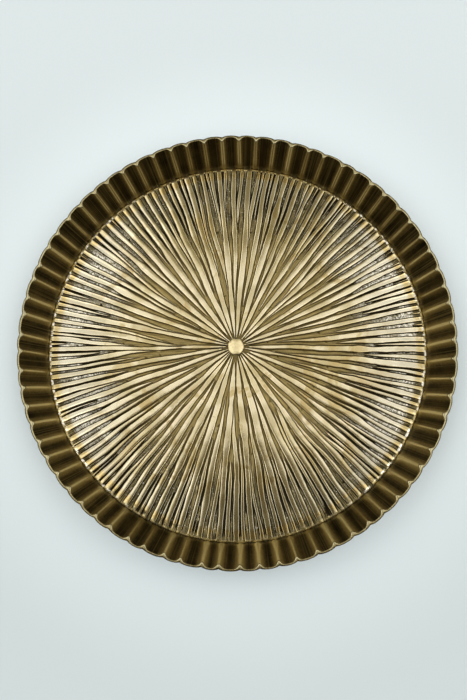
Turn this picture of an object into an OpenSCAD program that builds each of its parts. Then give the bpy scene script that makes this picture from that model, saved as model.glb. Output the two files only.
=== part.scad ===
// Round serving tray: a sunburst floor disc let into a fluted, flared wall ring.
// The disc sits on the ring's inward flange and is soldered there. A domed rivet
// closes the disc's centre, and felt pads under the flange carry the tray.
// Origin: centre of the tray, on the plane that the felt pads rest on. +Z is up.

/* [Tray] */
// Outside diameter over the flutes at the lip
tray_d = 360; // [345:1:400]
// Height from the resting plane to the lip
tray_h = 35; // [30:0.5:45]
// Diameter of the floor disc
floor_d = 327; // [300:1:330]

/* [Fluted wall] */
// Number of flutes round the wall
flute_count = 73; // [48:1:76]
// Depth of a flute at the lip, from ridge crest to flute bottom
flute_depth = 3.4; // [1:0.1:4]
// Depth of the groove outside each ridge, at the lip
groove_depth = 1.4; // [0.2:0.1:2]
// Width of the lip's flat land at a flute's middle
lip_land = 1.8; // [1.2:0.1:3]
// How uneven the hand-set flutes are, as a share of their pitch
unevenness = 0.09; // [0:0.01:0.2]
// How far the flange reaches in under the disc
flange_w = 18.5; // [16:0.5:30]
// Thickness of the flange
flange_t = 1.8; // [1.2:0.1:3]

/* [Floor disc] */
// Thickness of the plate without its rays
plate_t = 1.8; // [1.2:0.1:3]
// Height of the rays above the plate
ray_h = 0.9; // [0.4:0.1:1.5]
// Full width of a ray
ray_w = 3.2; // [2:0.1:3.4]

/* [Centre button] */
// Diameter of the button's head
button_d = 14.4; // [10:0.2:20]
// Height of the dome above the ray crests
button_rise = 1.6; // [0.8:0.1:3]
// Diameter of the rivet shank
shank_d = 4; // [3:0.5:6]

/* [Felt pads] */
// Diameter of a felt pad
pad_d = 14; // [8:0.5:16]
// Thickness of a felt pad
pad_t = 1.5; // [1:0.1:3]

/* [Hidden] */

$fn = 96;

brass = "darkgoldenrod";
dark_brass = "saddlebrown";
solder = "silver";
felt = "darkolivegreen";

// How far a cutting shape runs past the faces that it cuts
overrun = 1;
// Running gap between the disc's edge and its seat, and between shank and holes
fit_gap = 0.1;

// Heights of the assembly, from the resting plane up
flange_top = pad_t + flange_t;
plate_top = flange_top + plate_t;
crest_z = plate_top + ray_h;

// Foot of the wall: the seat that the disc drops into, and the foot and knuckle outside it
seat_r = floor_d / 2 + fit_gap;
flange_r = seat_r - flange_w;
foot_r = seat_r + 0.9;
knuckle_r = seat_r + 3.1;
knuckle_z = pad_t + 2.4;
seat_z = crest_z - 0.1;

// Ledge where the flutes begin, just above the ray crests
ledge_r = seat_r + 0.1;
ledge_z = crest_z + 0.3;

// Lip, and the bend half way up that bows the wall inwards
wall_bow = 0.4;
lip_r = tray_d / 2;
ridge_lip_r = lip_r - lip_land - flute_depth;
mid_z = (crest_z + tray_h) / 2;
outer_mid_r = (knuckle_r + lip_r) / 2 - wall_bow;
ridge_mid_r = (seat_r + ridge_lip_r) / 2 - wall_bow;

// Depth of a flute and of a groove at the bend and at the foot, as a share of the lip's
mid_share = 0.8;
foot_share = 0.45;

// Section lines along one flute, from ridge to ridge, and how full the flute's hollow is
flute_steps = 6;
columns = flute_count * flute_steps;
fullness = 0.8;

// Tiers of rays: [how many, at what radius they start]. Each tier fills the gaps so far.
ray_tiers = [[34, button_d / 2 + 0.8], [34, 34], [68, 95]];
// A ray starts narrow and reaches its full width over this length
ray_taper = 14;
ray_tip_share = 0.3;
ray_end_r = floor_d / 2 - 0.6;
// How far a ray is rooted in the plate
ray_root = 0.2;

// Rivet: straight edge under the dome, and the peened tail below the washer
button_edge_h = 0.6;
dome_h = ray_h + button_rise - button_edge_h;
dome_r = (pow(button_d / 2, 2) + pow(dome_h, 2)) / (2 * dome_h);
head_top = crest_z + button_rise;
washer_d = shank_d * 3;
washer_t = 0.8;
tail_d = shank_d * 1.75;
tail_t = 0.9;
tail_z = flange_top - washer_t - tail_t;
hole_d = shank_d + 2 * fit_gap;

// Solder fillet: length of its legs, how far its face is hollowed, and its clearance
seam_leg = 1.4;
seam_throat = seam_leg * 0.4;
seam_r = flange_r - 0.02;

pad_ring_r = (flange_r + foot_r) / 2;
pad_angles = [45, 135, 225, 315];

// A repeatable value from -1 to 1 for ridge k, standing for the maker's hand
function hand(k) = (sin(171 * k + 20) + sin(307 * k * k)) / 2;

// Angle of ridge k, in degrees
function ridge_angle(k) = 360 / flute_count * (k + unevenness * hand(k % flute_count));

// Angle of section line i
function column_angle(i) =
    let (k = floor(i / flute_steps), share = (i % flute_steps) / flute_steps)
    ridge_angle(k) * (1 - share) + ridge_angle(k + 1) * share;

// 0 on a ridge's crest, 1 in a flute's middle
function scoop(i) = pow(sin(180 * (i % flute_steps) / flute_steps), fullness);

// The wall's closed section on line i, as [radius, height] points
function wall_section(i) = let (s = scoop(i)) [
    [flange_r, pad_t],
    [foot_r, pad_t],
    [knuckle_r - groove_depth * foot_share * (1 - s), knuckle_z],
    [outer_mid_r - groove_depth * mid_share * (1 - s), mid_z],
    [lip_r - groove_depth * (1 - s), tray_h],
    [ridge_lip_r + flute_depth * s, tray_h],
    [ridge_mid_r + flute_depth * mid_share * s, mid_z],
    [ledge_r + flute_depth * foot_share * s, ledge_z],
    [seat_r, seat_z],
    [seat_r, flange_top],
    [flange_r, flange_top]
];

// Wall ring: one closed section carried round the tray and joined to itself
module fluted_wall() {
    m = len(wall_section(0));
    points = [
        for (i = [0:columns - 1], p = wall_section(i))
            [p[0] * cos(column_angle(i)), p[0] * sin(column_angle(i)), p[1]]
    ];
    faces = [
        for (i = [0:columns - 1], j = [0:m - 1])
            let (a = i * m, b = ((i + 1) % columns) * m, k = (j + 1) % m)
            each [[a + j, a + k, b + k], [a + j, b + k, b + j]]
    ];
    color(dark_brass) polyhedron(points, faces, convexity = 10);
}

// One ray along +X: a bar that starts narrow at start_r and runs to the disc's edge
module ray(start_r) {
    half = ray_w / 2;
    tip = half * ray_tip_share;
    translate([0, 0, plate_top - ray_root])
        linear_extrude(ray_root + ray_h)
            polygon([
                [start_r, -tip],
                [start_r + ray_taper, -half],
                [ray_end_r, -half],
                [ray_end_r, half],
                [start_r + ray_taper, half],
                [start_r, tip]
            ]);
}

// Angle of ray k of tier t: the first tier is even, and each later one halves its gaps
function ray_angle(t, k) = 360 / ray_tiers[t][0] * (t == 0 ? k : k + 0.5);

// Sunburst disc: a flat plate with raised rays, and a hole for the rivet
module floor_disc() {
    color(brass) difference() {
        union() {
            translate([0, 0, flange_top]) cylinder(h = plate_t, d = floor_d);
            for (t = [0:len(ray_tiers) - 1], k = [0:ray_tiers[t][0] - 1])
                rotate(ray_angle(t, k)) ray(ray_tiers[t][1]);
        }
        translate([0, 0, flange_top - overrun])
            cylinder(h = plate_t + ray_h + 2 * overrun, d = hole_d);
    }
}

// Domed rivet: head on the disc, shank through disc and washer, tail peened below
module centre_button() {
    color(brass) union() {
        translate([0, 0, plate_top]) cylinder(h = button_edge_h, d = button_d);
        intersection() {
            translate([0, 0, head_top - dome_r]) sphere(r = dome_r);
            translate([0, 0, plate_top + button_edge_h])
                cylinder(h = dome_h + overrun, d = button_d);
        }
        translate([0, 0, tail_z])
            cylinder(h = plate_top + button_edge_h - tail_z, d = shank_d);
        translate([0, 0, tail_z]) cylinder(h = tail_t, d1 = tail_d * 0.8, d2 = tail_d);
    }
}

module rivet_washer() {
    color(brass) translate([0, 0, flange_top - washer_t]) difference() {
        cylinder(h = washer_t, d = washer_d);
        translate([0, 0, -overrun]) cylinder(h = washer_t + 2 * overrun, d = hole_d);
    }
}

// Fillet of solder in the corner between the flange's inner edge and the disc
module solder_seam() {
    color(solder) rotate_extrude(angle = 360)
        polygon([
            [seam_r - seam_leg, flange_top],
            [seam_r - seam_throat, flange_top - seam_throat],
            [seam_r, flange_top - seam_leg],
            [seam_r, flange_top]
        ]);
}

// Felt pad i, on the middle of the flange
module felt_pad(i) {
    color(felt) rotate(pad_angles[i - 1])
        translate([pad_ring_r, 0, 0]) cylinder(h = pad_t, d = pad_d);
}

fluted_wall();
floor_disc();
centre_button();
rivet_washer();
solder_seam();
felt_pad(1);  // felt_pad_1
felt_pad(2);  // felt_pad_2
felt_pad(3);  // felt_pad_3
felt_pad(4);  // felt_pad_4
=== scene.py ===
"""The looks of a round brass tray with a rayed floor and a fluted wall, built round its CAD model.

Lengths are in millimetres until a mesh is made. Every piece is a skin: a closed stack of rings that
run round the tray's centre line, or round a felt pad's own.
"""

import math

import bpy
import numpy as np
from mathutils import Matrix, Vector


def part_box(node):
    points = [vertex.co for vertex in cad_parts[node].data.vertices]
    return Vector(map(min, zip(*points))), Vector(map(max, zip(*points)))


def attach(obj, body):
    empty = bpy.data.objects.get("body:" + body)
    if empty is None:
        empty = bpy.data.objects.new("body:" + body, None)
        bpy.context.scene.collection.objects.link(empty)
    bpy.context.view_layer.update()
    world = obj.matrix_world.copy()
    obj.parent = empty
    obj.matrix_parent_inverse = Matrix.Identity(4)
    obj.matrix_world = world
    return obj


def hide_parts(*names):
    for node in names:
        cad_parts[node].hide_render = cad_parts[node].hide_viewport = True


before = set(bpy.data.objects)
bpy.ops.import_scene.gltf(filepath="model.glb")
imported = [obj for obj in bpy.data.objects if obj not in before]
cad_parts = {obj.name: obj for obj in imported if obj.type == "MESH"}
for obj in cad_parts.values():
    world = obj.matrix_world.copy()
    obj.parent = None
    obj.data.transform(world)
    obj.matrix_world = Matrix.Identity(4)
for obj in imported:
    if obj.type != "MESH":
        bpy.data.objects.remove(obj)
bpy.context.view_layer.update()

MM = 0.001
TURN = 2 * math.pi


# ------ sizes read from the CAD model


def cad_points(node):
    """A CAD node's vertices as radius, angle and height."""
    co = np.array([v.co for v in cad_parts[node].data.vertices]) / MM
    return np.hypot(co[:, 0], co[:, 1]), np.arctan2(co[:, 1], co[:, 0]) % TURN, co[:, 2]


# Points this close in height count as level, and this close in radius as on one circle
LEVEL = 0.01
ON_CIRCLE = 0.05


def on_top(z):
    """Which points are level with the highest."""
    return z > z.max() - LEVEL


def ridge_angles(r, angle, z):
    """The angle of each ridge of the wall: the innermost points of the lip's inside edge."""
    lip = on_top(z)
    crest = lip & (r < r[lip].min() + ON_CIRCLE)
    return np.unique(np.round(angle[crest], 4))


wall_r, wall_angle, wall_z = cad_points("fluted_wall")
RIDGES = ridge_angles(wall_r, wall_angle, wall_z)
LIP_R, FLANGE_R = wall_r.max(), wall_r.min()
LIP_Z, FLANGE_BOTTOM = wall_z.max(), wall_z.min()
RIDGE_LIP_R = wall_r[on_top(wall_z)].min()

disc_r, _, disc_z = cad_points("floor_disc")
DISC_R, HOLE_R = disc_r.max(), disc_r.min()
DISC_BOTTOM, CREST_Z = disc_z.min(), disc_z.max()
# How high the rays stand above the plate
RAY_H = 0.9
PLATE_Z = CREST_Z - RAY_H

button_r, _, button_z = cad_points("centre_button")
BUTTON_R, BUTTON_TOP, TAIL_BOTTOM = button_r.max(), button_z.max(), button_z.min()
# Gap round the rivet's shank
SHANK_GAP = 0.1
SHANK_R = HOLE_R - SHANK_GAP

washer_r, _, washer_z = cad_points("rivet_washer")
seam_r, _, seam_z = cad_points("solder_seam")


# ------ skins

# Edges that turn more than this stay sharp
SHARP_DEGREES = 50


class Skin:
    """A closed surface through rings of points. Points have keys, and where one of two neighbouring
    rings has more points, it has all the other's keys and more between them."""

    def __init__(self, marks=("wear_and_painted_light",)):
        self.points, self.rings = [], []
        self.marks = {name: [] for name in marks}
        self.count = 0

    def ring(self, keys, r, angle, z, **marks):
        """Adds one ring. Rings go outwards over the top, down, inwards below and up again."""
        r, angle, z = np.broadcast_arrays(r, angle, z)
        self.points.append(np.column_stack([r * np.cos(angle), r * np.sin(angle), z]))
        for name, values in self.marks.items():
            values.append(np.broadcast_to(marks.get(name, 0.0), r.shape))
        self.rings.append((list(keys), self.count))
        self.count += len(r)

    def faces(self):
        """Faces between each ring and the next, and between the last and the first."""
        out = []
        for (keys_a, a), (keys_b, b) in zip(self.rings, self.rings[1:] + self.rings[:1]):
            fewer, more = (keys_a, keys_b) if len(keys_a) <= len(keys_b) else (keys_b, keys_a)
            place = {key: i for i, key in enumerate(more)}
            stops = [place[key] for key in fewer] + [place[fewer[0]] + len(more)]
            for i in range(len(fewer)):
                j = (i + 1) % len(fewer)
                between = [k % len(more) for k in range(stops[i], stops[i + 1] + 1)]
                if fewer is keys_a:
                    out.append([a + i, *(b + k for k in between), a + j])
                else:
                    out.append([*(a + k for k in reversed(between)), b + i, b + j])
        return out

    def build(self, name, material):
        """Makes the Blender object."""
        mesh = bpy.data.meshes.new(name)
        mesh.from_pydata(np.concatenate(self.points) * MM, [], self.faces())
        for mark, values in self.marks.items():
            layer = mesh.attributes.new(mark, "FLOAT", "POINT")
            layer.data.foreach_set("value", np.concatenate(values).astype(np.float32))
        mesh.polygons.foreach_set("use_smooth", [True] * len(mesh.polygons))
        mesh.set_sharp_from_angle(angle=math.radians(SHARP_DEGREES))
        mesh.validate()
        mesh.materials.append(material)
        piece = bpy.data.objects.new(name, mesh)
        bpy.context.scene.collection.objects.link(piece)
        return piece


def place(piece, node, slot):
    """The piece stands for a CAD node: it is hung under the root body, and the node's own mesh is hidden.
    slot is not used.
    """
    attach(piece, "root")
    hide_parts(node)


def smooth(x):
    """0 up to x = 0, 1 from x = 1, and an even slope between."""
    x = np.clip(x, 0, 1)
    return x * x * (3 - 2 * x)


def waves(rng, at, shortest, longest, count=5):
    """A gently varying value of about unit size, with wavelengths between two lengths."""
    total = np.zeros_like(at, dtype=float)
    for _ in range(count):
        length, phase = rng.uniform(shortest, longest), rng.uniform(0, TURN)
        total += np.cos(at * TURN / length + phase)
    return total / math.sqrt(count / 2)


def round_waves(rng, angle, fewest, most, count=5):
    """A gently varying value round the tray that closes on itself."""
    total = np.zeros_like(angle, dtype=float)
    for _ in range(count):
        total += np.cos(angle * rng.integers(fewest, most + 1) + rng.uniform(0, TURN))
    return total / math.sqrt(count / 2)


# ------ shader helpers

NOISE_ROUGHNESS = 0.55


class Shader:
    """A node tree with short calls for its nodes. An input is a number, a colour or a socket."""

    def __init__(self, tree):
        self.tree = tree
        tree.nodes.clear()

    def add(self, kind, inputs=None, **settings):
        """A new node with its inputs and settings."""
        node = self.tree.nodes.new(kind)
        for name, value in settings.items():
            setattr(node, name, value)
        for name, value in (inputs or {}).items():
            self.put(node.inputs[name], value)
        return node

    def put(self, socket, value):
        """Links a socket to another, or gives it a number or colour."""
        if isinstance(value, bpy.types.NodeSocket):
            self.tree.links.new(value, socket)
        elif isinstance(value, tuple) and len(value) == 3 and socket.type == "RGBA":
            socket.default_value = (*value, 1)
        else:
            socket.default_value = value

    def math(self, operation, a, b=0.0, c=0.0, clamp=False):
        node = self.add("ShaderNodeMath", {0: a, 1: b, 2: c}, operation=operation, use_clamp=clamp)
        return node.outputs[0]

    def fade(self, value, low, high, to_low=0.0, to_high=1.0):
        """value from low to high, eased, as to_low to to_high."""
        inputs = {"Value": value, "From Min": low, "From Max": high, "To Min": to_low, "To Max": to_high}
        node = self.add("ShaderNodeMapRange", inputs, interpolation_type="SMOOTHSTEP")
        return node.outputs["Result"]

    def both(self, *values):
        """The values multiplied together."""
        product = values[0]
        for value in values[1:]:
            product = self.math("MULTIPLY", product, value)
        return product

    def mix(self, share, a, b):
        """Colour a, or colour b where share is 1."""
        node = self.add("ShaderNodeMix", data_type="RGBA")
        self.put(node.inputs["Factor"], share)
        self.put(node.inputs[6], a)
        self.put(node.inputs[7], b)
        return node.outputs[2]

    def noise(self, vector, scale, detail=3.0, distortion=0.0):
        """Noise whose features are about `scale` millimetres across, or units of the vector."""
        inputs = {"Vector": vector, "Scale": 1 / scale, "Detail": detail, "Distortion": distortion}
        node = self.add("ShaderNodeTexNoise", {**inputs, "Roughness": NOISE_ROUGHNESS})
        return node.outputs["Fac"]

    def scaled(self, vector, scale):
        """The vector or colour times a number."""
        node = self.add("ShaderNodeVectorMath", {0: vector, "Scale": scale}, operation="SCALE")
        return node.outputs[0]

    def place_mm(self):
        """The surface point in the tray's own frame, in millimetres."""
        return self.scaled(self.add("ShaderNodeTexCoord").outputs["Object"], 1 / MM)

    def mark(self, name):
        """A value that the mesh keeps at its points."""
        return self.add("ShaderNodeAttribute", attribute_name=name).outputs["Fac"]

    def stretch(self, point, x, y, z):
        """The point with its coordinates scaled."""
        node = self.add("ShaderNodeVectorMath", {0: point, 1: (x, y, z)}, operation="MULTIPLY")
        return node.outputs[0]

    def flat(self, point):
        """The point without its height."""
        return self.stretch(point, 1, 1, 0)

    def radius(self, point):
        """The point's distance from the tray's centre line."""
        node = self.add("ShaderNodeVectorMath", {0: self.flat(point)}, operation="LENGTH")
        return node.outputs["Value"]

    def along_rays(self, point, turns, step):
        """A vector for streaks that run outwards: `turns` units a radian, one unit each `step` mm out."""
        way = self.add("ShaderNodeVectorMath", {0: self.flat(point)}, operation="NORMALIZE").outputs[0]
        steps_out = self.math("DIVIDE", self.radius(point), step)
        rise = self.add("ShaderNodeCombineXYZ", {"Z": steps_out}).outputs[0]
        node = self.add("ShaderNodeVectorMath", {0: self.scaled(way, turns), 1: rise}, operation="ADD")
        return node.outputs[0]

    def east(self, point):
        return self.add("ShaderNodeSeparateXYZ", {0: point}).outputs["X"]

    def up(self, point):
        return self.add("ShaderNodeSeparateXYZ", {0: point}).outputs["Z"]

    def bump(self, height, distance_mm, strength=1.0, normal=None):
        """Small relief laid over the surface, or over another bump's result."""
        inputs = {"Height": height, "Distance": distance_mm * MM, "Strength": strength}
        if normal is not None:
            inputs["Normal"] = normal
        return self.add("ShaderNodeBump", inputs).outputs["Normal"]

    def metal(self, color, roughness, normal, metallic=1.0, **constants):
        """The surface, with what is the same all over set on the shader's own sockets."""
        shader = self.add("ShaderNodeBsdfPrincipled", {"Base Color": color, "Roughness": roughness})
        self.put(shader.inputs["Metallic"], metallic)
        self.put(shader.inputs["Normal"], normal)
        for name, value in constants.items():
            shader.inputs[name.replace("_", " ")].default_value = value
        self.add("ShaderNodeOutputMaterial", {"Surface": shader.outputs["BSDF"]})


def new_material(name):
    """A material with an empty node tree."""
    material = bpy.data.materials.new(name)
    material.use_nodes = True
    return material, Shader(material.node_tree)


# ------ materials

# Brass, from rubbed bright to stained, and the colours of painted sheen, painted glints and painted shade
BRIGHT_BRASS = (0.82, 0.705, 0.45)
WORN_BRASS = (0.66, 0.545, 0.29)
DULL_BRASS = (0.38, 0.29, 0.11)
STAINED_BRASS = (0.50, 0.365, 0.14)
PAINTED_SHEEN_BRASS = (0.62, 0.575, 0.45)
PAINTED_GLINT = (0.86, 0.80, 0.66)
PAINTED_SHADE_BRASS = (0.30, 0.275, 0.20)
BUTTON_BRASS = (0.80, 0.67, 0.39)
LIP_BRASS = (0.40, 0.35, 0.195)
RIDGE_BRASS = (0.88, 0.77, 0.42)
# Patina, on the wall and between the rays, and the ground's painted sheen
OLD_BRONZE = (0.058, 0.040, 0.013)
BLACK_PATINA = (0.016, 0.012, 0.005)
GROOVE_BROWN = (0.100, 0.073, 0.024)
LAND_BROWN = (0.325, 0.243, 0.092)
LAND_OLIVE = (0.14, 0.113, 0.052)
PAINTED_SHEEN_GROUND = (0.41, 0.375, 0.27)
# Solder and felt
SOLDER_GREY = (0.52, 0.51, 0.48)
SOLDER_STAIN = (0.24, 0.21, 0.17)
FELT_DARK = (0.045, 0.055, 0.035)
FELT_LIGHT = (0.13, 0.16, 0.10)
FELT_WORN = (0.09, 0.10, 0.075)

# Zones of the floor's finish and of its painted sheen, painted glints and painted shade: the radii where
# a change begins and where it is complete
BUTTON_SHADE_GROUND = (17, 9)
BUTTON_SHADE_GROOVES = (19, 9)
OLD_GROUND = (80, 125)
PAINTED_SHEEN_SIDES = (95, 145)
PAINTED_SHADE_EDGES = (105, 140)
PAINTED_SHADE_DIAGONALS = (128, 150)
TIDE_BEGINS = (152, 156)
TIDE_ENDS = (161, 159)
PAINTED_SHEEN_GROUND_ENDS = (157, 152.5)
PAINTED_SHEEN_CRESTS_END = (158, 152)
PAINTED_GLINTS_END = (160, 154)
DULL_RIM = (155, 160)
RIM_LINE = (160.5, 161.3)
PAINTED_RIM_GLINTS = (160.7, 161.5)


class FloorPattern:
    """The patterns that the floor's crests and its ground share."""

    def __init__(self, s):
        point = s.place_mm()
        self.out = s.radius(point)
        # 1 to the tray's left and right, 0 on its near and far side
        self.sideways = s.math("DIVIDE", s.math("ABSOLUTE", s.east(point)), self.out)
        self.far = s.fade(self.out, *OLD_GROUND)
        self.grain = s.noise(point, 1.1, detail=4)
        self.blotch = s.noise(point, 7, detail=2, distortion=0.6)
        self.cloud = s.noise(point, 30, detail=2, distortion=0.4)
        self.stain = s.noise(point, 38, detail=3, distortion=1.2)
        self.streak = s.noise(s.along_rays(point, 230, 14), 1.0, detail=2)
        self.dashes = s.noise(s.along_rays(point, 90, 0.9), 1.0, detail=2)
        self.dots = s.noise(s.along_rays(point, 44, 4), 1.0, detail=1)
        # painted sheen mask: crests and ground made paler to left and right, where the side lights
        # reflect
        self.pale = s.both(s.fade(self.out, *PAINTED_SHEEN_SIDES), s.fade(self.sideways, 0.60, 0.92))


def crest_color(s, p, wear_and_painted_light):
    """Brass rubbed bright on the rays, clouded and stained, with painted shade on the rays' outer edges
    on the near and far sides and on the diagonals, and a painted sheen to left and right.
    """
    color = s.mix(s.fade(p.cloud, 0.42, 0.74), BRIGHT_BRASS, WORN_BRASS)
    color = s.mix(s.fade(p.blotch, 0.58, 0.74, 0, 0.18), color, DULL_BRASS)
    color = s.mix(s.fade(p.streak, 0.45, 0.75, 0, 0.22), color, DULL_BRASS)
    color = s.mix(s.fade(wear_and_painted_light, 0.97, 0.78, 0, 0.6), color, DULL_BRASS)
    color = s.mix(s.fade(p.stain, 0.55, 0.65, 0, 0.75), color, STAINED_BRASS)

    # painted shade: the rays' edges darkened on the near and far sides, further out
    edge = s.both(s.fade(p.sideways, 0.75, 0.40), s.fade(p.out, *PAINTED_SHADE_EDGES))
    color = s.mix(s.both(edge, s.fade(s.mark("edge"), 0.1, 0.8, 0, 0.9)), color, PAINTED_SHADE_BRASS)
    # painted shade on the diagonals, further out
    diagonal = s.both(s.fade(p.sideways, 0.35, 0.55), s.fade(p.sideways, 0.95, 0.80))
    color = s.mix(s.both(diagonal, s.fade(p.out, *PAINTED_SHADE_DIAGONALS, 0, 0.52)), color, PAINTED_SHADE_BRASS)

    tide = s.both(s.fade(p.out, *TIDE_BEGINS), s.fade(p.out, *TIDE_ENDS))
    color = s.mix(s.both(tide, s.fade(p.blotch, 0.36, 0.52, 0.15, 0.80)), color, STAINED_BRASS)
    color = s.mix(s.fade(p.out, *DULL_RIM, 0, 0.22), color, DULL_BRASS)
    # painted sheen on the crests to left and right
    color = s.mix(s.both(p.pale, s.fade(p.out, *PAINTED_SHEEN_CRESTS_END, 0, 0.50)), color, PAINTED_SHEEN_BRASS)
    return s.mix(s.fade(p.out, *RIM_LINE, 0, 0.55), color, DULL_BRASS)


def ground_color(s, p):
    """Patina between the rays: dark lines and wider ground, with painted shade round the button, painted
    glints, and a painted sheen to left and right.
    """
    # painted sheen on the ground to left and right
    pale = s.both(p.pale, s.fade(p.stain, 0.60, 0.48, 0.3, 1), s.fade(p.out, *PAINTED_SHEEN_GROUND_ENDS))
    deep = s.mix(p.far, GROOVE_BROWN, BLACK_PATINA)
    land = s.mix(s.both(p.far, s.fade(p.cloud, 0.35, 0.55, 0.5, 1)), LAND_BROWN, LAND_OLIVE)
    land = s.mix(pale, land, PAINTED_SHEEN_GROUND)
    land = s.mix(s.fade(p.streak, 0.41, 0.60, 0, 0.88), land, deep)
    # painted shade: the ground darkened round the button's foot
    land = s.mix(s.fade(p.out, *BUTTON_SHADE_GROUND, 0, 0.85), land, GROOVE_BROWN)

    # painted glints: near-white specks on the ground
    glint_specks = s.both(s.fade(p.dashes, 0.60, 0.72), s.fade(p.far, 0, 1, 0.1, 0.55))
    glint_specks = s.both(glint_specks, s.fade(p.out, *PAINTED_GLINTS_END, 0.2, 1))
    # painted sheen in streaks to left and right, with the painted glints
    sheen_streaks = s.math("MAXIMUM", s.fade(p.dashes, 0.48, 0.60), s.fade(p.dots, 0.52, 0.62, 0, 0.55))
    land = s.mix(s.math("MAXIMUM", glint_specks, s.both(sheen_streaks, pale)), land, PAINTED_GLINT)
    # painted shade: the dark lines darkened further round the button's foot
    deep = s.mix(s.fade(p.out, *BUTTON_SHADE_GROOVES, 0, 0.60), deep, BLACK_PATINA)
    return s.mix(s.fade(s.mark("bare"), 0.45, 0.85), deep, land)


def floor_brass():
    """Ray crests rubbed bright over patinated grooves, with painted glints along the rim to left and
    right.
    """
    material, s = new_material("rayed_brass_floor")
    p = FloorPattern(s)
    wear_and_painted_light = s.mark("wear_and_painted_light")
    height = s.math("ADD", wear_and_painted_light, s.fade(p.grain, 0.3, 0.7, -0.05, 0.05))
    crest = s.fade(height, 0.46, 0.64)
    color = s.mix(crest, ground_color(s, p), crest_color(s, p, wear_and_painted_light))
    # painted glints along the rim, only to left and right
    rim_glints = s.both(s.fade(p.out, *PAINTED_RIM_GLINTS), s.fade(p.sideways, 0.45, 0.80))
    color = s.mix(s.both(rim_glints, s.fade(p.dots, 0.48, 0.60, 0, 0.85)), color, PAINTED_GLINT)
    roughness = s.math("ADD", s.fade(crest, 0, 1, 0.36, 0.10), s.fade(p.streak, 0.3, 0.7, 0.0, 0.05))
    normal = s.bump(p.dashes, 0.08, s.fade(crest, 0, 1, 0.8, 0.0))
    normal = s.bump(p.streak, 0.06, s.fade(crest, 0, 1, 0.8, 0.05), normal)
    normal = s.bump(p.grain, 0.05, s.fade(crest, 0, 1, 0.8, 0.06), normal)
    s.metal(color, roughness, normal)
    return material


# How far below the top the lip's finish ends, and how far below it is whole
LIP_BLENDS = 1.3
LIP_BEGINS = 0.5


def wall_bronze():
    """Dark bronze-brown patina, rubbed to brass on the lip and along the ridges, with the painted
    highlights, sheen and shade that the rubbing mark carries.
    """
    material, s = new_material("dark_brass_wall")
    point = s.place_mm()
    wear_and_painted_light = s.mark("wear_and_painted_light")
    grain = s.noise(point, 1.6, detail=4)
    fine = s.noise(point, 0.4, detail=2)
    cloud = s.noise(point, 22, detail=3)
    drawn = s.noise(s.along_rays(point, 170, 40), 1.0, detail=2)

    # the mark holds wear and, on the wall, painted highlights, sheen and shade
    rub = s.math("ADD", wear_and_painted_light, s.math("MULTIPLY_ADD", grain, 0.24, -0.12), clamp=True)
    dark = s.mix(s.fade(cloud, 0.35, 0.7), OLD_BRONZE, BLACK_PATINA)
    dark = s.mix(s.fade(drawn, 0.45, 0.75, 0, 0.34), dark, DULL_BRASS)
    lip = s.fade(s.up(point), LIP_Z - LIP_BLENDS, LIP_Z - LIP_BEGINS)
    color = s.mix(s.fade(rub, 0.02, 0.55), dark, DULL_BRASS)
    color = s.mix(s.fade(rub, 0.40, 0.95), color, s.mix(lip, RIDGE_BRASS, LIP_BRASS))
    color = s.mix(s.math("MULTIPLY", lip, s.fade(rub, 0.1, 0.45)), color, LIP_BRASS)
    roughness = s.math("ADD", s.fade(lip, 0, 1, 0.42, 0.22), s.fade(fine, 0.3, 0.7, 0.0, 0.08))
    normal = s.bump(drawn, 0.03)
    normal = s.bump(grain, 0.05, 0.6, normal)
    s.metal(color, roughness, normal)
    return material


def button_brass():
    """The centre button, rubbed bright, with fine scratches and a darker foot."""
    material, s = new_material("polished_brass")
    point = s.place_mm()
    wear_and_painted_light = s.mark("wear_and_painted_light")
    grain = s.noise(point, 1.4, detail=4)
    scratch = s.noise(s.stretch(point, 1, 7, 1), 1.2)
    brass = s.mix(s.fade(grain, 0.25, 0.75), BUTTON_BRASS, WORN_BRASS)
    color = s.mix(s.fade(wear_and_painted_light, 0.1, 0.8), OLD_BRONZE, brass)
    roughness = s.fade(scratch, 0.3, 0.7, 0.36, 0.48)
    normal = s.bump(grain, 0.07, 0.7, s.bump(scratch, 0.02))
    s.metal(color, roughness, normal)
    return material


def plain_brass():
    """Unworn, dull brass sheet with turning marks."""
    material, s = new_material("plain_brass")
    point = s.place_mm()
    grain = s.noise(point, 1.0, detail=4)
    turned = s.noise(s.add("ShaderNodeCombineXYZ", {"X": s.radius(point)}).outputs[0], 0.35, detail=2)
    color = s.mix(s.fade(grain, 0.3, 0.75), WORN_BRASS, DULL_BRASS)
    roughness = s.fade(turned, 0.3, 0.7, 0.36, 0.50)
    s.metal(color, roughness, s.bump(grain, 0.05, 0.5, s.bump(turned, 0.03)))
    return material


def grey_solder():
    """Dull soft solder, slightly lumpy and stained."""
    material, s = new_material("solder")
    point = s.place_mm()
    grain = s.noise(point, 1.3, detail=4)
    stain = s.noise(point, 9, detail=3)
    color = s.mix(s.fade(stain, 0.4, 0.7), SOLDER_GREY, SOLDER_STAIN)
    roughness = s.fade(grain, 0.3, 0.7, 0.38, 0.58)
    s.metal(color, roughness, s.bump(grain, 0.12, 0.7))
    return material


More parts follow.
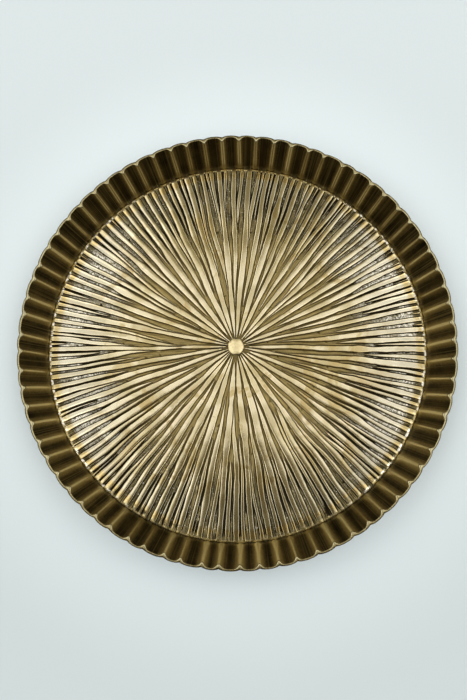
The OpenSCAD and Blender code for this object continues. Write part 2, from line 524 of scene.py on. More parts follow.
def wool_felt():
    """Dense wool felt: short fibres lying every way."""
    material, s = new_material("felt")
    point = s.place_mm()
    lengthways = s.noise(s.stretch(point, 1, 6, 2), 0.7, detail=2, distortion=1.2)
    crossways = s.noise(s.stretch(point, 6, 1, 2), 0.7, detail=2, distortion=1.2)
    fibre = s.math("MAXIMUM", lengthways, crossways)
    tuft = s.noise(point, 2.2, detail=3)
    color = s.mix(s.fade(fibre, 0.45, 0.75), FELT_DARK, FELT_LIGHT)
    color = s.mix(s.fade(tuft, 0.3, 0.8, 0, 0.4), color, FELT_WORN)
    normal = s.bump(tuft, 0.15, 0.6, s.bump(fibre, 0.12))
    s.metal(color, s.fade(fibre, 0.3, 0.8, 0.97, 0.88), normal, metallic=0.0, Sheen_Weight=0.35)
    return material


# ------ floor disc

# Rays that start at the button
PRIMARY_RAYS = 34
# Usual half width of a ray's top, and how far its side slopes out beyond that
RAY_HALF = 1.95
RAY_FOOT = 0.40
# The gap that takes a new ray: its width at the centre, its growth with each mm out, and its limit
GAP_AT_CENTRE = 5.0
GAP_GROWTH = 0.05
WIDEST_GAP = 8.2
# Least distance outwards from a ray's start to the start of the next one beside it
NEXT_START = 9
# No ray starts outside this radius
LAST_START = 153.0
# Share of the new rays that fork from a neighbour, and the length over which they part
FORKED_SHARE = 0.22
FORK_LENGTH = 70
# Share of the primary rays that start late, and of all rays that have a knot
LATE_SHARE = 0.3
KNOT_SHARE = 0.45
# First and last row of points that follow the rays, and the steps between rows, near and far out
FIRST_R = BUTTON_R + 0.35
BAND_R = DISC_R - 2.8
FINE_ROWS_END = 36
FINE_STEP, STEP = 1.6, 2.9
# How far the dark lines are cut below the plate, and their width
GROOVE_CUT = 0.3
CUT_DEPTH = RAY_H + GROOVE_CUT
LINE = 0.45
# Level of the wider ground between rays, as a share of the way up from the lines to the crests
LAND = 0.36
# A ray's section: distances in from its edge, and the height's share at each
PROFILE = ([-RAY_FOOT, 0.0, 0.15, 0.32, 0.52, 1.5], [0.0, 0.70, 0.89, 0.975, 0.997, 1.0])
# Room that neighbouring rays keep between them
TOUCH = 0.75
# A ray with a smaller half width than this has its shoulders drawn in to suit
ROUNDED = 0.9
# How many patches there are where rays run together
PATCH_COUNT = 10
# Level that the metal reaches where it fills the grooves at the rim
FILL_LEVEL = 0.74
# The smooth band at the rim: distance from the last row, depth below the crests, share of the band
RIM_RINGS = ((0.7, 0.02, 0.6), (1.3, 0.03, 1.0), (2.3, 0.07, 1.0), (2.68, 0.25, 1.0))
UNDERSIDE_RADII = (FLANGE_R + 4, FLANGE_R - 4, 118, 96, 74, 52, 32, 16)


class Ray:
    """One raised ray of the floor: centre angle, half width, height and tone at each row's radius."""

    made = 0

    def __init__(self, rng, radii, centre, half, height, first_row):
        self.centre, self.half, self.height, self.first_row = centre, half, height, first_row
        self.tone = 1 - 0.15 * smooth(0.4 + 0.6 * waves(rng, radii, 25, 90))
        self.land = 1 + 0.22 * waves(rng, radii, 9, 40)
        self.key = Ray.made
        Ray.made += 1


def hand_width(rng, radii):
    """How a ray's width varies along it: gently, with a knot where two cuts met on some of them."""
    width = 1 + 0.05 * waves(rng, radii, 16, 50) + 0.03 * waves(rng, radii, 6, 11)
    if rng.random() < KNOT_SHARE:
        at, length = rng.normal(106, 13), rng.uniform(4, 9)
        width += rng.uniform(0.08, 0.30) * np.exp(-(((radii - at) / length) ** 2))
        width -= rng.uniform(0.03, 0.12) * smooth((radii - at) / 12) * smooth((at + 50 - radii) / 30)
    return width


def sector_width(angle, radii):
    """Rays are cut wider on one side of the tray than on the other, most of all near the button."""
    inner = 1.13 - 0.08 * np.cos(angle) - 0.03 * np.sin(angle)
    inner -= 0.15 * np.cos(2 * angle) + 0.06 * np.sin(2 * angle)
    outer = 1.08 + 0.09 * np.sin(angle) ** 2
    full = 0.12 * np.exp(-(((radii - 88) / 28) ** 2)) + 0.03 * np.cos(3 * angle)
    return inner + (outer - inner) * smooth((radii - 65) / 60) + full


def first_rays(rng, radii):
    """The rays that start at the button."""
    pitch = TURN / PRIMARY_RAYS
    rays = []
    for i in range(PRIMARY_RAYS):
        start = radii[0] + (rng.uniform(0, 5) if rng.random() < LATE_SHARE else rng.uniform(-3, 0))
        angle = (i + rng.uniform(-0.16, 0.16)) * pitch
        bend = 0.28 * waves(rng, radii, 45, 130, 3) * smooth((radii - 10) / 40)
        full = RAY_HALF * rng.normal(1, 0.09) * sector_width(angle, radii)
        full = full * (0.80 + 0.20 * smooth((radii - 30) / 50))
        half = np.minimum(full, 0.345 * pitch * radii) * hand_width(rng, radii)
        half = half * (0.55 + 0.45 * smooth((radii - start) / 8))
        rays.append(Ray(rng, radii, angle + bend / radii, half, smooth((radii - start + 1) / 4), 0))
    return rays


def fill_gap(rng, radii, left, right, born):
    """The rays that start between two others once these have spread far enough apart, in order."""
    spread = right.centre - left.centre
    limit = np.minimum(GAP_AT_CENTRE + GAP_GROWTH * radii, WIDEST_GAP) * math.exp(rng.normal(0, 0.10))
    ready = (spread * radii > limit) & (radii > born + NEXT_START)
    if not ready.any() or radii[ready.argmax()] > LAST_START:
        return []
    row = int(ready.argmax())
    out = radii - radii[row] + rng.uniform(0, 2)
    full = RAY_HALF * rng.normal(1, 0.10) * sector_width(left.centre[row], radii)
    half = np.minimum(full, rng.uniform(0.105, 0.135) * spread * radii) * hand_width(rng, radii)
    share = np.full_like(radii, 0.5 + rng.uniform(-0.05, 0.05))
    if rng.random() < FORKED_SHARE:
        side = rng.choice([-1, 1])
        parent = left if side < 0 else right
        near = 0.5 + side * (0.5 - 1.15 * parent.half / (spread * radii))
        share = near + (share - near) * smooth(0.08 + out / FORK_LENGTH)
        half = half * (0.4 + 0.6 * smooth(out / 20))
        height = smooth((out + 4) / 5)
    else:
        half = half * (0.05 + 0.95 * smooth(out / rng.uniform(26, 52)) ** 0.8)
        height = smooth(out / rng.uniform(5, 12))
    sway = 0.20 * waves(rng, radii, 40, 110, 3) * smooth(out / 30)
    ray = Ray(rng, radii, left.centre + spread * share + sway / radii, half, height, max(row - 1, 0))
    ray.land = left.land + (ray.land - left.land) * smooth(out / 20)
    return [
        *fill_gap(rng, radii, left, ray, radii[row]),
        ray,
        *fill_gap(rng, radii, ray, right, radii[row]),
    ]


def all_rays(rng, radii):
    """Every ray, in order round the disc."""
    first = first_rays(rng, radii)
    rays = []
    for i, left in enumerate(first):
        right = first[(i + 1) % len(first)]
        if i == len(first) - 1:
            right = Ray(rng, radii, right.centre + TURN, right.half, right.height, 0)
        rays += [left, *fill_gap(rng, radii, left, right, 20)]
    return rays


def ray_profile(offset, half):
    """Height share of a ray at a distance from its centre line: steep sides, rounded shoulders."""
    slim = np.minimum(1, half / ROUNDED)
    inside = (half - np.abs(offset)) / slim
    return np.interp(inside, *PROFILE)


def patches(rng, count):
    """Places where the cutter skipped and rays run together: angle, radius, length and width."""
    ranges = ((0, TURN), (60, 150), (9, 16), (1.2, 2.4))
    return np.column_stack([rng.uniform(low, high, count) for low, high in ranges])


def patch_height(spots, r, angle):
    """How far the patches fill the grooves at points on one row."""
    near = spots[np.abs(spots[:, 1] - r) < 2 * spots[:, 2]]
    height = np.zeros_like(angle)
    for at, out, length, width in near:
        turn = np.angle(np.exp(1j * (angle - at))) * r
        height = np.maximum(height, np.exp(-(((r - out) / length) ** 2) - (turn / width) ** 2))
    return 0.90 * smooth((height - 0.1) / 0.7)


# How far in from a ray's edge its shoulder's points lie
SHOULDER = (0.0, 0.15, 0.32, 0.52)
# Points across one ray: its foot and shoulder on both sides, and the two ends of the ground after it
COLUMNS = 2 * len(SHOULDER) + 4
# How near the ray's edge these points count, from the foot inwards
EDGE = (0.8, 1.0, 1.0, 0.9, 0.35)
# Least half width of a ray, and least step between neighbouring points of a row
SLIMMEST = 0.12
LEAST_STEP = 0.002


def parted(centre, half, height, girth):
    """The rays' half widths on one row, narrowed where two neighbours would touch."""
    away = np.roll(centre, -1) - centre
    away[-1] += girth
    lack = np.maximum(0, half + np.roll(half, -1) + TOUCH - away)
    lack = lack * np.minimum(height, np.roll(height, -1))
    return np.maximum(half - 0.5 * np.maximum(lack, np.roll(lack, 1)), SLIMMEST)


def row_of_rays(rays, row, r):
    """One row's points: keys, angles, levels, tones, bare ground's share, nearness to a ray's edge."""
    active = [ray for ray in rays if ray.first_row <= row]
    centre, half, height, tone, land = (
        np.array([getattr(ray, what)[row] for ray in active])
        for what in ("centre", "half", "height", "tone", "land")
    )
    centre = centre * r
    n = len(active)
    girth = TURN * r
    half = parted(centre, half, height, girth)
    slim = np.minimum(1, half / ROUNDED)
    foot = half + RAY_FOOT * np.minimum(1, slim + 0.2)
    after = np.roll(centre - foot, -1) + np.where(np.arange(n) == n - 1, girth, 0)
    groove = after - (centre + foot)
    reach = [foot] + [half - inset * slim for inset in SHOULDER]
    columns = [centre - d for d in reach] + [centre + d for d in reversed(reach)]
    line = np.minimum(LINE, groove * 0.3)
    columns += [centre + foot + line, centre + foot + groove - line]
    x = np.column_stack(columns).ravel()
    step = np.arange(len(x)) * LEAST_STEP * min(1, r / 60)
    x = np.maximum.accumulate(x - step) + step
    keys = [(ray.key, c) for ray in active for c in range(COLUMNS)]

    level = np.zeros_like(x)
    for shift in (-1, 0, 1):
        owner = np.repeat((np.arange(n) + shift) % n, COLUMNS)
        away = (x - centre[owner] + girth / 2) % girth - girth / 2
        level = np.maximum(level, ray_profile(away, half[owner]) * height[owner])
    # beside a ray that is still low a gap counts as wide, so that its ground runs on smoothly
    unmade = 1 - smooth((height - 0.5) / 0.5)
    passed = unmade * (np.roll(groove, 1) + 2 * foot + groove)
    open_to = np.maximum(groove, np.maximum(passed, np.roll(passed, -1)))
    room = smooth((open_to - 0.6) / 1.8)
    ground = LAND * room * land
    between = np.tile([0] * (COLUMNS - 2) + [1, 1], n)
    unborn = (1 - between) * np.repeat(unmade * np.roll(ground, 1), COLUMNS)
    level = np.maximum(level, np.maximum(between * np.repeat(ground, COLUMNS), unborn))
    bare = between * np.repeat(room, COLUMNS)
    bare = np.maximum(bare, (1 - between) * np.repeat(unmade * np.roll(room, 1), COLUMNS))
    edge = np.tile([*EDGE, *reversed(EDGE), 0.0, 0.0], n)
    return keys, x / r, level, np.repeat(tone, COLUMNS), bare, edge


def swell(r, angle):
    """How far the crests dip below the disc's top plane, unevenly, as hand work does."""
    x, y = r * np.cos(angle), r * np.sin(angle)
    dips = np.sin(x / 7 + y / 11 + 1) + np.sin(y / 6 - x / 16 + 3) + np.sin(x / 4.3 - y / 9 + 5)
    return 0.012 * (3 + dips)


def rim_fill(angle):
    """How far metal fills the grooves at the rim: most on the near side."""
    uneven = 0.20 * np.cos(5 * angle + 1) + 0.15 * np.cos(13 * angle + 4)
    return smooth(0.68 - 0.50 * np.abs(np.cos(angle)) - 0.26 * np.sin(angle) + uneven)


def rim_near_darkening(angle):
    """How much darker the floor's rim is made: only on the near side."""
    return smooth((-np.sin(angle) - 0.35) / 0.45)


def row_radii():
    """Radii of the rows of points that follow the rays."""
    near_rows = np.arange(FIRST_R, FINE_ROWS_END, FINE_STEP)
    far_rows = np.arange(FINE_ROWS_END, BAND_R - 1, STEP)
    return np.concatenate([near_rows, far_rows, [BAND_R]])


def cut_rows(skin, rng, rays, radii, spots):
    """The rows that follow the rays, from the button out. Gives back what the last row was made of."""
    for row, r in enumerate(radii):
        keys, angle, level, tone, bare, edge = row_of_rays(rays, row, r)
        patch = patch_height(spots, r, angle)
        level, tone = np.maximum(level, patch), tone * (1 - 0.50 * patch)
        filled = smooth((r - 156) / 5) * rim_fill(angle)
        level, bare = np.maximum(level, FILL_LEVEL * filled), np.maximum(bare, filled)
        land = smooth((level - 0.1) / 0.15) * smooth((0.62 - level) / 0.15)
        grit = rng.normal(0, 1, len(level))
        z = CREST_Z - CUT_DEPTH * (1 - level) - 0.02 + (0.002 + 0.02 * land) * grit
        z -= swell(r, angle) * level
        # the rim made darker on the near side
        dull = 1 - 0.36 * rim_near_darkening(angle) * smooth((r - 150) / 8)
        wear_and_painted_light = np.clip(level * tone * dull + 0.03 * land * grit, 0, 1)
        skin.ring(keys, r, angle, np.minimum(z, CREST_Z), wear_and_painted_light=wear_and_painted_light, bare=bare, edge=edge)
    return keys, angle, level, bare


def rim_band(skin, keys, angle, level, bare):
    """The smooth band at the rim, which fills the grooves in some places more than in others."""
    fill = rim_fill(angle)
    for out, drop, share in RIM_RINGS:
        height = np.maximum(level * (1 - 0.1 * share), (0.66 + 0.26 * fill) * share)
        z = CREST_Z - CUT_DEPTH * (1 - height) - drop
        wear_and_painted_light = height * (1 - 0.40 * rim_near_darkening(angle))
        skin.ring(keys, BAND_R + out, angle, z, wear_and_painted_light=wear_and_painted_light, bare=np.maximum(bare, share))
    skin.ring(keys, DISC_R - 0.02, angle, CREST_Z - CUT_DEPTH - 0.3, wear_and_painted_light=0.05)
    skin.ring(keys, DISC_R - 0.02, angle, DISC_BOTTOM + 0.25, wear_and_painted_light=0.05)


def floor_disc():
    """The rayed disc: a skin whose columns follow the rays."""
    rng = np.random.default_rng(20)
    radii = row_radii()
    rays = all_rays(rng, radii)
    spots = patches(rng, PATCH_COUNT)
    skin = Skin(("wear_and_painted_light", "bare", "edge"))
    first_keys, first_angle, *_ = row_of_rays(rays, 0, radii[0])

    def plain(r, z, wear_and_painted_light, wobble=0.0):
        lift = wobble * round_waves(rng, first_angle, 3, 17)
        skin.ring(first_keys, r, first_angle, z + lift, wear_and_painted_light=wear_and_painted_light)

    # the hole's edge and the flat under the button
    plain(HOLE_R, PLATE_Z - 0.2, 0.1)
    plain(HOLE_R + 0.2, PLATE_Z - 0.03, 0.1)
    plain(BUTTON_R - 0.6, PLATE_Z - 0.06, 0.0)

    rim_band(skin, *cut_rows(skin, rng, rays, radii, spots))

    # underside, and the hole's wall
    plain(DISC_R - 0.3, DISC_BOTTOM, 0.3)
    for r in UNDERSIDE_RADII:
        plain(r, DISC_BOTTOM + 0.05, 0.70, 0.02)
    plain(HOLE_R + 0.25, DISC_BOTTOM, 0.4)
    plain(HOLE_R, DISC_BOTTOM + 0.2, 0.2)
    place(skin.build("rayed_floor", floor_brass()), "floor_disc", "rayed_brass_floor")


# ------ fluted wall

# Gap between the disc and its seat, and where the wall has its knuckle outside and ledge inside
SEAT_GAP = 0.1
SEAT_R = DISC_R + SEAT_GAP
KNUCKLE_R = SEAT_R + 3.1
KNUCKLE_Z = FLANGE_BOTTOM + 2.4
LEDGE_Z = CREST_Z + 0.3
# How far the wall bows inwards half way up
WALL_BOW = 0.4
# Depth of a flute and of the groove outside a ridge, at the lip
FLUTE_DEPTH = 3.4
GROOVE_DEPTH = 1.2
# Their shares of it at the foot, half way up and at the lip
FLUTE_SHARES = (0.42, 0.80, 1.0)
GROOVE_SHARES = (0.45, 0.8, 1.0)
# Columns of points from a ridge's crest to a flute's middle, as shares of the pitch
ACROSS = [0, 0.014, 0.03, 0.05, 0.075, 0.105, 0.145, 0.20, 0.27, 0.38]
# Rings of points outside, from the lip down to the knuckle, and inside, from the ledge up to the lip
RINGS_DOWN = (0.975, 0.95, 0.90, 0.82, 0.72, 0.61, 0.5, 0.39, 0.28, 0.18, 0.09, 0.03, 0.0)
RINGS_UP = (0, 0.02, 0.05, 0.09, 0.15, 0.22, 0.3, 0.38, 0.46, 0.54, 0.62, 0.7, 0.78, 0.85, 0.91)
RINGS_UP += (0.955, 0.98)


def bend(t, low, middle, high):
    """A curve through three values at t = 0, 0.5 and 1."""
    return low * (1 - t) * (1 - 2 * t) + 4 * middle * t * (1 - t) + high * t * (2 * t - 1)


class Flutes:
    """The wall's form: round-ended flutes between bead-like ridges. t is 0 at the foot, 1 at the lip."""

    def __init__(self, rng):
        self.skin = Skin()
        n = len(RIDGES)
        across = np.array(ACROSS + [0.5] + [1 - u for u in reversed(ACROSS[1:])])
        pitch = np.append(RIDGES[1:], RIDGES[0] + TURN) - RIDGES
        share = np.tile(across, n)
        flute = np.repeat(np.arange(n), len(across))
        self.base = (RIDGES[:, None] + pitch[:, None] * across).ravel()
        # the ridge that each column is nearest to, and how far it is from that ridge's crest
        self.ridge = np.where(share < 0.5, flute, (flute + 1) % n)
        self.side = np.minimum(share, 1 - share) * pitch[flute] * LIP_R
        self.hollow = np.sin(np.pi * share) ** 0.8
        self.lean = rng.normal(0, 0.35, n)[self.ridge]
        self.bead = rng.normal(1, 0.10, n)[self.ridge]
        self.deep = rng.normal(1, 0.045, n)[flute]
        self.rub = rng.normal(1, 0.2, n)[self.ridge]
        self.top = LIP_Z - 0.10 + 0.06 * np.clip(round_waves(rng, self.base, 2, 30), -1.5, 1.5)
        # 1 on the tray's near side, and on its far side
        self.near = smooth((-np.sin(self.base) - 0.25) / 0.55)
        self.far = smooth((np.sin(self.base) - 0.35) / 0.45)

    def scoop(self, t):
        """0 on a ridge, 1 in a flute's middle. Flutes have round corners, and ridges a blunter foot."""
        blunt = (3.1 - 0.9 * t) * self.bead
        return 0.92 * (1 - np.exp(-((self.side / blunt) ** 2))) + 0.08 * self.hollow

    def angle(self, t):
        """Ridges lean a little, each in its own way."""
        return self.base + (1 - t) * (self.lean * np.exp(-self.side / 3)) / LIP_R

    def inside(self, t):
        """The wall's radius inside."""
        depth = FLUTE_DEPTH * bend(t, *FLUTE_SHARES) * self.deep
        line = bend(t, SEAT_R + 0.15, (SEAT_R + RIDGE_LIP_R) / 2 - WALL_BOW, RIDGE_LIP_R)
        return line + depth * self.scoop(t)

    def outside(self, t):
        """The wall's radius outside."""
        notch = GROOVE_DEPTH * bend(t, *GROOVE_SHARES)
        line = bend(t, KNUCKLE_R, (KNUCKLE_R + LIP_R) / 2 - WALL_BOW, LIP_R)
        narrow = np.exp(-((self.side / 2.2) ** 2))
        return line - 0.02 - notch * (0.25 * narrow + 0.75 * (1 - self.hollow))

    def ring(self, r, z, wear_and_painted_light, t=1.0):
        """Adds one ring to the wall's skin."""
        self.skin.ring(range(len(self.side)), r, self.angle(t), z, wear_and_painted_light=np.clip(wear_and_painted_light, 0, 1))


def lip_rings(form):
    """The lip, from its inside edge to its outside edge, with painted shade on the near and far sides."""
    inner, outer, top, near = form.inside(1.0), form.outside(1.0), form.top, form.near
    crown = np.exp(-((form.side / 2.0) ** 2))
    # painted shade: the lip's rubbed brass dimmed on the near and far sides, and the outer edge on the
    # near side
    painted_lip_shade = 1 - 0.40 * near - 0.35 * form.far
    form.ring(inner + 0.08, top - 0.24, (0.36 + 0.08 * crown) * painted_lip_shade)
    form.ring(inner + 0.34, top - 0.05, (0.52 + 0.08 * crown) * painted_lip_shade)
    form.ring((inner + outer) / 2, top, (0.24 + 0.26 * crown) * painted_lip_shade)
    form.ring(outer - 0.62, top - 0.10, (0.04 + 0.14 * crown) * (1 - near))
    form.ring(outer - 0.16, top - 0.34, 0.0)


def outside_rings(form):
    """The outside, downwards, and the foot under its knuckle."""
    for t in RINGS_DOWN:
        z = KNUCKLE_Z + (form.top - KNUCKLE_Z) * t
        form.ring(form.outside(t), z, 0.16 * form.hollow * form.rub, t)
    knuckle = form.outside(0)
    form.ring(knuckle - 0.35, KNUCKLE_Z - 0.8, 0.1, 0)
    form.ring(np.minimum(knuckle - 1.0, SEAT_R + 1.1), FLANGE_BOTTOM + 0.5, 0.15, 0)
    form.ring(SEAT_R + 0.55, FLANGE_BOTTOM + 0.06, 0.3, 0)


def flange_rings(form):
    """The flange, inwards below and outwards above, and the seat for the disc."""
    for r, z, wear_and_painted_light in (
        (SEAT_R - 0.6, FLANGE_BOTTOM, 0.3),
        (SEAT_R - 9, FLANGE_BOTTOM, 0.22),
        (FLANGE_R + 0.7, FLANGE_BOTTOM, 0.25),
        (FLANGE_R + 0.12, FLANGE_BOTTOM + 0.15, 0.35),
        (FLANGE_R, FLANGE_BOTTOM + 0.5, 0.2),
        (FLANGE_R, DISC_BOTTOM - 0.1, 0.1),
        (FLANGE_R + 0.1, DISC_BOTTOM - 0.02, 0.1),
        (SEAT_R - 0.1, DISC_BOTTOM - 0.02, 0.1),
        (SEAT_R, DISC_BOTTOM + 0.1, 0.0),
        (SEAT_R + 0.02, CREST_Z - 0.6, 0.0),
    ):
        form.ring(r, z, wear_and_painted_light, 0)


def inside_rings(form):
    """The inside, upwards: a fine bright line rubbed on each ridge, partly a painted highlight, a broad
    painted sheen, and painted highlight flames on the near side.
    """
    side, near, far, rub = form.side, form.near, form.far, form.rub
    # rubbed ridge line, partly painted highlight: weaker on the near side, moved and weaker on the far
    # side
    fine = np.exp(-(((side - 1.0 * far) / (0.8 - 0.2 * far)) ** 2)) * (1 - 0.25 * far) * (1 - 0.45 * near)
    # painted sheen on the ridges' flanks, stronger on the near side
    painted_sheen = 0.27 * np.exp(-((side / 4.9) ** 2)) + 0.15 * np.exp(-((side / 2.4) ** 2)) - 0.05 * far
    painted_sheen = painted_sheen * (1 + 0.45 * near)
    for t in RINGS_UP:
        z = LEDGE_Z + (form.top - LEDGE_Z) * t
        # painted highlight: flame-shaped on the near side's ridges
        painted_flame = smooth((4.8 - 3.0 * t - side) / 2.6) * near * smooth(t / 0.08 + 0.2)
        wear_and_painted_light = (0.60 * fine * smooth(t / 0.3) + painted_sheen) * rub
        wear_and_painted_light = np.maximum(wear_and_painted_light, 0.66 * painted_flame * rub) + 0.10 * smooth((0.12 - t) / 0.12)
        form.ring(form.inside(t), z, wear_and_painted_light, t)


def fluted_wall():
    """The wall: one closed section carried round the tray, dark but for its rubbed lip and ridges and
    their painted highlights.
    """
    form = Flutes(np.random.default_rng(73))
    lip_rings(form)
    outside_rings(form)
    flange_rings(form)
    inside_rings(form)
    place(form.skin.build("fluted_wall_skin", wall_bronze()), "fluted_wall", "dark_brass_wall")


# ------ small turned pieces


def lathe(name, material, profile, segments, rng, uneven=0.0, centre=(0, 0), fewest=2, most=9):
    """A turned piece: a closed profile of (radius, height, worn) carried round, a little out of true."""
    angle = np.arange(segments) * TURN / segments
    skin = Skin()
    form = round_waves(rng, angle, fewest, most)
    for r, z, wear_and_painted_light in profile:
        skin.ring(range(segments), r * (1 + uneven * form), angle, z, wear_and_painted_light=wear_and_painted_light)
    piece = skin.build(name, material)
    piece.data.transform(Matrix.Translation((centre[0] * MM, centre[1] * MM, 0)))
    return piece


# The peened tail's radius over the shank's
TAIL_SHARE = 1.75
# Points round the solder seam, and the places of the rings on its face, as shares of a quarter turn
SEAM_POINTS = 360
SEAM_SHARES = (0.25, 0.5, 0.75)


def rivet_profile():
    """Domed head, shank and peened tail, from the dome's top round to the tail's middle."""
    dome = [
        (BUTTON_R * math.sin(a), PLATE_Z + 0.7 + (BUTTON_TOP - PLATE_Z - 0.74) * math.cos(a))
        for a in np.linspace(0.03, math.pi / 2, 13)
    ]
    head = [(r, z, 1.0 - 0.5 * smooth((r / BUTTON_R - 0.85) / 0.15)) for r, z in dome]
    tail_r = SHANK_R * TAIL_SHARE
    return head + [
        (BUTTON_R * 0.985, PLATE_Z + 0.3, 0.2),
        (BUTTON_R * 0.95, PLATE_Z + 0.02, 0.0),
        (SHANK_R + 0.2, PLATE_Z + 0.02, 0.0),
        (SHANK_R, PLATE_Z - 0.1, 0.1),
        (SHANK_R, washer_z.min() - 0.02, 0.1),
        (tail_r * 0.97, washer_z.min() - 0.02, 0.4),
        (tail_r, washer_z.min() - 0.25, 0.5),
        (tail_r * 0.9, TAIL_BOTTOM + 0.22, 0.7),
        (tail_r * 0.62, TAIL_BOTTOM + 0.03, 0.8),
        (tail_r * 0.3, TAIL_BOTTOM, 0.8),
        (0.05, TAIL_BOTTOM, 0.8),
    ]


def centre_button():
    """The rivet whose head is the tray's centre button, hammered slightly out of round."""
    rng = np.random.default_rng(5)
    piece = lathe("centre_button_rivet", button_brass(), rivet_profile(), 72, rng, 0.024)
    place(piece, "centre_button", "polished_brass")


def rivet_washer():
    """The burr washer under the disc, with softened edges."""
    inner, outer, low, high = washer_r.min(), washer_r.max(), washer_z.min(), washer_z.max()
    profile = [
        (inner + 0.06, high, 0.3),
        (outer - 0.1, high, 0.3),
        (outer, high - 0.12, 0.4),
        (outer, low + 0.14, 0.4),
        (outer - 0.12, low, 0.5),
        (inner + 0.12, low, 0.5),
        (inner, low + 0.12, 0.4),
        (inner, high - 0.06, 0.3),
    ]
    piece = lathe("rivet_washer_disc", plain_brass(), profile, 64, np.random.default_rng(6), 0.004)
    place(piece, "rivet_washer", "plain_brass")


def solder_seam():
    """A bead of solder in the corner between flange and disc, run by hand."""
    rng = np.random.default_rng(8)
    angle = np.arange(SEAM_POINTS) * TURN / SEAM_POINTS
    outer, top = seam_r.max(), seam_z.max()
    leg = seam_z.max() - seam_z.min() - 0.05
    lump = 1 - 0.13 * (1 + np.clip(round_waves(rng, angle, 9, 70, 9), -1, 1))
    skin = Skin()

    def ring(r, z):
        skin.ring(range(SEAM_POINTS), r, angle, z, wear_and_painted_light=0.5)

    ring(outer - leg * lump, top)
    ring(outer, top)
    ring(outer, top - leg * lump)
    for share in SEAM_SHARES:
        reach = share * math.pi / 2
        r = outer - leg * lump * (1 - math.cos(reach)) - 0.02
        ring(r, top - leg * lump * (1 - math.sin(reach)) - 0.02)
    place(skin.build("solder_seam_bead", grey_solder()), "solder_seam", "solder")


def felt_pads():
    """Four punched felt discs with soft, slightly frayed edges."""
    felt = wool_felt()
    for i in (1, 2, 3, 4):
        low, high = (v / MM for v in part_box(f"felt_pad_{i}"))
        r, h = (high.x - low.x) / 2 - 0.12, high.z - low.z
        rng = np.random.default_rng(40 + i)
        profile = [
            (0.1, h, 0),
            (r * 0.5, h, 0),
            (r - 0.3, h, 0),
            (r, h - 0.25, 0),
            (r + 0.05, h * 0.55, 0),
            (r - 0.02, 0.28, 0),
            (r - 0.35, 0.02, 0),
            (r * 0.5, 0.0, 0),
            (0.1, 0.0, 0),
        ]
        middle = ((low.x + high.x) / 2, (low.y + high.y) / 2)
        piece = lathe(f"felt_disc_{i}", felt, profile, 96, rng, 0.004, middle, 7, 41)
        place(piece, f"felt_pad_{i}", "felt")


floor_disc()
fluted_wall()
centre_button()
rivet_washer()
solder_seam()
felt_pads()


# ------ studio

# The sheet's colour on the near and far side, the near side darker as painted shade, and how far out the
# change between them reaches
SHEET_NEAR = (0.62, 0.69, 0.695)
SHEET_FAR = (0.72, 0.79, 0.80)
SHEET_CHANGES = 330
# The sheet is painted a little lighter under and round the tray, a painted light that thins the tray's
# shadow: how much, and from where inwards
SHEET_PAINTED_LIGHT = 1.16
SHEET_PAINTED_LIGHT_ZONE = (300, 175)
# Half the sheet's width
SHEET_REACH = 6000

# Light from the ceiling's middle and sides, from the side panels, and from elsewhere
CEILING_MIDDLE = (1.04, 1.04, 1.05)
CEILING_SIDES = (1.13, 1.16, 1.22)
SIDE_PANELS = (2.5, 2.52, 2.56)
DIM_NEAR = (0.16, 0.14, 0.085)
DIM_FAR = (0.36, 0.33, 0.225)
HORIZON_NEAR = (0.12, 0.12, 0.12)
HORIZON_FAR = (0.38, 0.385, 0.39)

# The camera's place, what it points at, and its lens and sensor
EYE = (13.7, -78.4, 499.4)
AIM = (-1.1, -7.5, LIP_Z)
LENS = 29.73
SENSOR = 36


def pale_floor():
    """The large pale sheet that the tray stands on, with painted shade towards its near side and painted
    light round the tray.
    It lets light through to the tray's underside, and isn't seen from below."""
    material, s = new_material("pale_floor")
    point = s.place_mm()
    paper = s.noise(point, 0.9, detail=2)
    along = s.add("ShaderNodeSeparateXYZ", {0: point}).outputs["Y"]
    # painted shade: the sheet darker towards its near side
    pale = s.mix(s.fade(along, -SHEET_CHANGES, SHEET_CHANGES), SHEET_NEAR, SHEET_FAR)
    out = s.radius(point)
    # painted light: the sheet made lighter round the tray, against the tray's shadow
    lift = s.fade(out, *SHEET_PAINTED_LIGHT_ZONE, 1.0, SHEET_PAINTED_LIGHT)
    shader = s.add("ShaderNodeBsdfPrincipled", {"Base Color": s.scaled(pale, lift), "Roughness": 0.75})
    shader.inputs["Specular IOR Level"].default_value = 0.2
    s.put(shader.inputs["Normal"], s.bump(paper, 0.02, 0.3))
    clear = s.add("ShaderNodeBsdfTransparent")
    below = s.add("ShaderNodeNewGeometry").outputs["Backfacing"]
    indirect = s.math("SUBTRACT", 1.0, s.add("ShaderNodeLightPath").outputs["Is Camera Ray"])
    under = s.math("MULTIPLY", indirect, s.fade(out, FLANGE_R + 17, FLANGE_R + 5))
    open_share = s.math("MAXIMUM", below, under)
    both = s.add("ShaderNodeMixShader", {0: open_share, 1: shader.outputs["BSDF"], 2: clear.outputs[0]})
    s.add("ShaderNodeOutputMaterial", {"Surface": both.outputs[0]})
    reach = SHEET_REACH * MM
    mesh = bpy.data.meshes.new("pale_floor")
    corners = [(-reach, -reach, 0), (reach, -reach, 0), (reach, reach, 0), (-reach, reach, 0)]
    mesh.from_pydata(corners, [], [(0, 1, 2, 3)])
    mesh.materials.append(material)
    floor = bpy.data.objects.new("pale_floor", mesh)
    bpy.context.scene.collection.objects.link(floor)


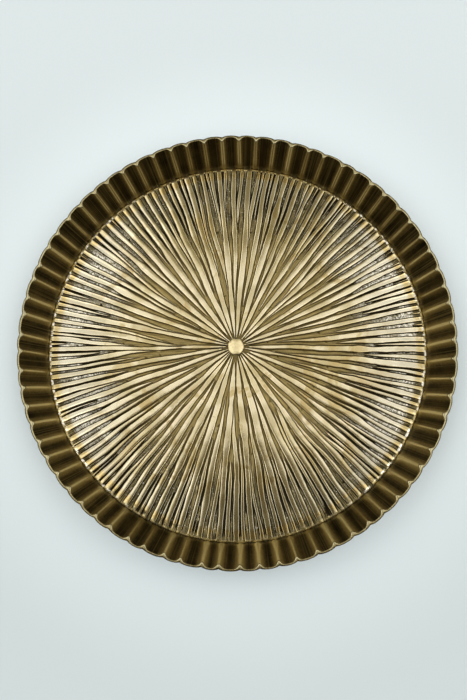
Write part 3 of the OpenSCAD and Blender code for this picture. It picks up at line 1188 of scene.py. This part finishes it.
def studio_light():
    """Light from all round: a bright ceiling, bright panels to left and right, dim elsewhere. Slopes
    give directions: how far one goes in X and in Y for each unit that it rises."""
    world = bpy.data.worlds.new("studio")
    bpy.context.scene.world = world
    world.use_nodes = True
    s = Shader(world.node_tree)
    way = s.add("ShaderNodeSeparateXYZ", {0: s.add("ShaderNodeTexCoord").outputs["Generated"]})
    rise = s.math("MAXIMUM", way.outputs["Z"], 0.02)
    slope_x = s.math("DIVIDE", way.outputs["X"], rise)
    slope_y = s.math("DIVIDE", way.outputs["Y"], rise)
    aside = s.math("ABSOLUTE", slope_x)

    ceiling = s.both(s.fade(slope_y, -0.022, -0.008), s.fade(slope_y, 0.33, 0.315))
    glow = s.mix(s.fade(aside, 0.08, 0.28), CEILING_MIDDLE, CEILING_SIDES)
    ahead = s.math("ABSOLUTE", slope_y)
    sides = s.both(s.fade(aside, 0.13, 0.28), s.fade(aside, 1.6, 0.7, 0.05, 1.0))
    sides = s.both(sides, s.fade(ahead, 1.3, 0.3, 0.10, 1.0))
    low = s.fade(way.outputs["Z"], 0.45, 0.05)
    dim = s.mix(s.fade(slope_y, -0.1, 0.4), DIM_NEAR, DIM_FAR)
    horizon = s.mix(s.fade(way.outputs["Y"], -0.75, -0.1), HORIZON_NEAR, HORIZON_FAR)
    color = s.mix(sides, dim, SIDE_PANELS)
    color = s.mix(ceiling, color, glow)
    color = s.mix(low, color, horizon)
    seen = s.add("ShaderNodeLightPath").outputs["Is Camera Ray"]
    light = s.add("ShaderNodeBackground", {"Color": color, "Strength": 1.0})
    backdrop = s.add("ShaderNodeBackground", {"Color": SHEET_FAR, "Strength": 1.0})
    both = s.add("ShaderNodeMixShader", {0: seen, 1: light.outputs[0], 2: backdrop.outputs[0]})
    s.add("ShaderNodeOutputWorld", {"Surface": both.outputs[0]})
    bpy.context.scene.view_settings.view_transform = "Standard"


def camera():
    """Above the tray, tilted towards its near side, with the long side of the picture upright."""
    lens_data = bpy.data.cameras.new("camera")
    lens_data.sensor_width = SENSOR
    lens_data.lens = LENS
    eye = Vector(EYE)
    ahead = (Vector(AIM) - eye).normalized()
    right = ahead.cross(Vector((0, 1, 0))).normalized()
    up = right.cross(ahead)
    item = bpy.data.objects.new("camera", lens_data)
    turn = Matrix((right, up, -ahead)).transposed().to_4x4()
    item.matrix_world = Matrix.Translation(eye * MM) @ turn
    lens_data.clip_start, lens_data.clip_end = 0.01, 50
    bpy.context.scene.collection.objects.link(item)
    bpy.context.scene.camera = item


pale_floor()
studio_light()
camera()
